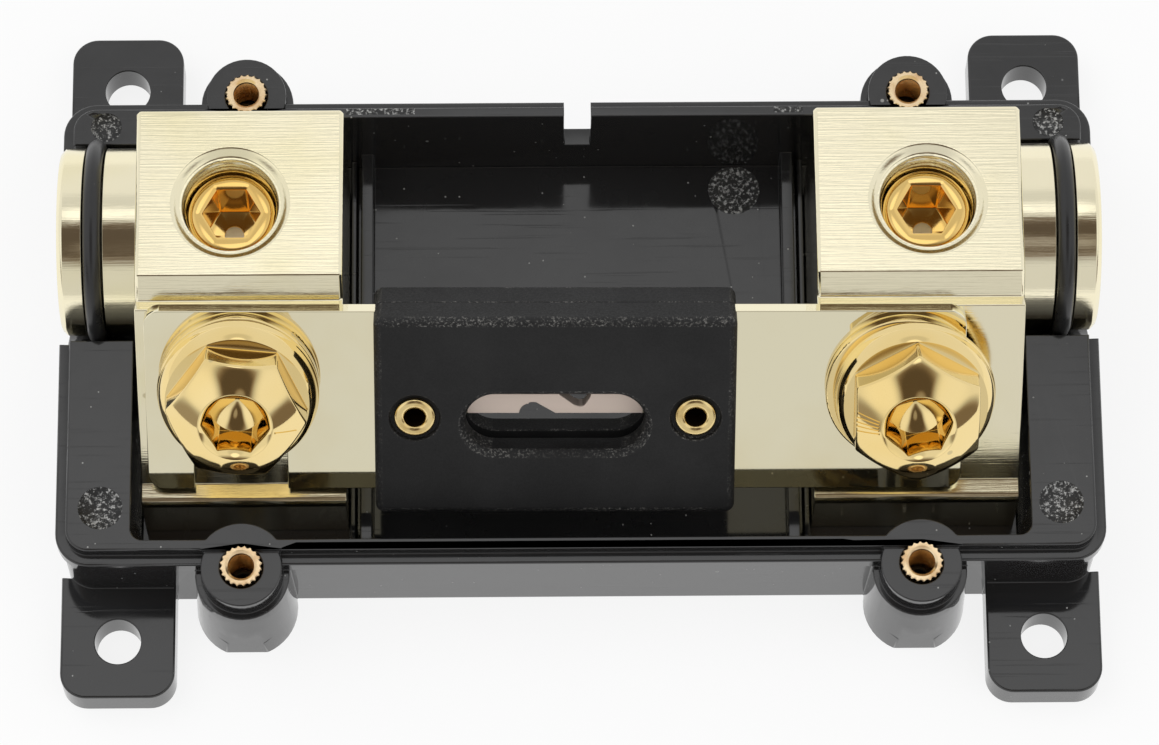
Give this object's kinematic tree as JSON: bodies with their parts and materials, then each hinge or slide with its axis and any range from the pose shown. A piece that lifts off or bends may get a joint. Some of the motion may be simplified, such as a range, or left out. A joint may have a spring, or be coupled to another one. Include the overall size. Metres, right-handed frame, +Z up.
{
  "type": "blade fuse holder",
  "caption": "Open panel-mount holder for a bolt-down blade fuse: black tray with lugs, gold cable terminals with set screws, and sloping clamp bolts.",
  "frame": {"origin": "under the middle of the tray, in the plane of its underside", "axes": "+X along the cables towards the right terminal, +Y towards the notched back wall, +Z up from the mounting surface"},
  "size_m": [0.1036, 0.0706, 0.03],
  "materials": {
    "tray_plastic": "glossy black moulded plastic with matt ejector marks",
    "insert_brass": "turned and knurled brass",
    "terminal_plate": "pale gold plating over brass, brushed on the block's top",
    "ring_rubber": "satin black rubber",
    "screw_plate": "gold-coloured plating over steel",
    "blade_plate": "pale gold plating over stamped alloy",
    "fuse_plastic": "dark grey fine-grained moulding",
    "eyelet_brass": "rolled brass"
  },
  "bodies": {
    "holder": {"base": "tray_plastic", "insert_front_left": "insert_brass", "insert_front_right": "insert_brass", "insert_back_left": "insert_brass", "insert_back_right": "insert_brass", "terminal_left": "terminal_plate", "sealing_ring_left": "ring_rubber", "fuse_eyelet_left": "eyelet_brass", "terminal_right": "terminal_plate", "sealing_ring_right": "ring_rubber", "fuse_eyelet_right": "eyelet_brass", "fuse_element": "blade_plate", "fuse_body_upper": "fuse_plastic", "fuse_body_lower": "fuse_plastic"},
    "set_screw_left": {"set_screw_left": "screw_plate"},
    "set_screw_right": {"set_screw_right": "screw_plate"},
    "clamp_left": {"clamp_bolt_left": "screw_plate", "washer_left": "screw_plate"},
    "clamp_right": {"clamp_bolt_right": "screw_plate", "washer_right": "screw_plate"}
  },
  "joints": [
    {"name": "set_screw_left_travel", "type": "slide", "parent": "holder", "child": "set_screw_left", "axis": [0, 0, 1], "range_m": [-0.0035, 0.0056]},
    {"name": "clamp_left_travel", "type": "slide", "parent": "holder", "child": "clamp_left", "axis": [0, -0.7373, 0.6756], "range_m": [0, 0.0075]},
    {"name": "set_screw_right_travel", "type": "slide", "parent": "holder", "child": "set_screw_right", "axis": [0, 0, 1], "range_m": [-0.0035, 0.0056]},
    {"name": "clamp_right_travel", "type": "slide", "parent": "holder", "child": "clamp_right", "axis": [0, -0.7373, 0.6756], "range_m": [0, 0.0075]}
  ]
}
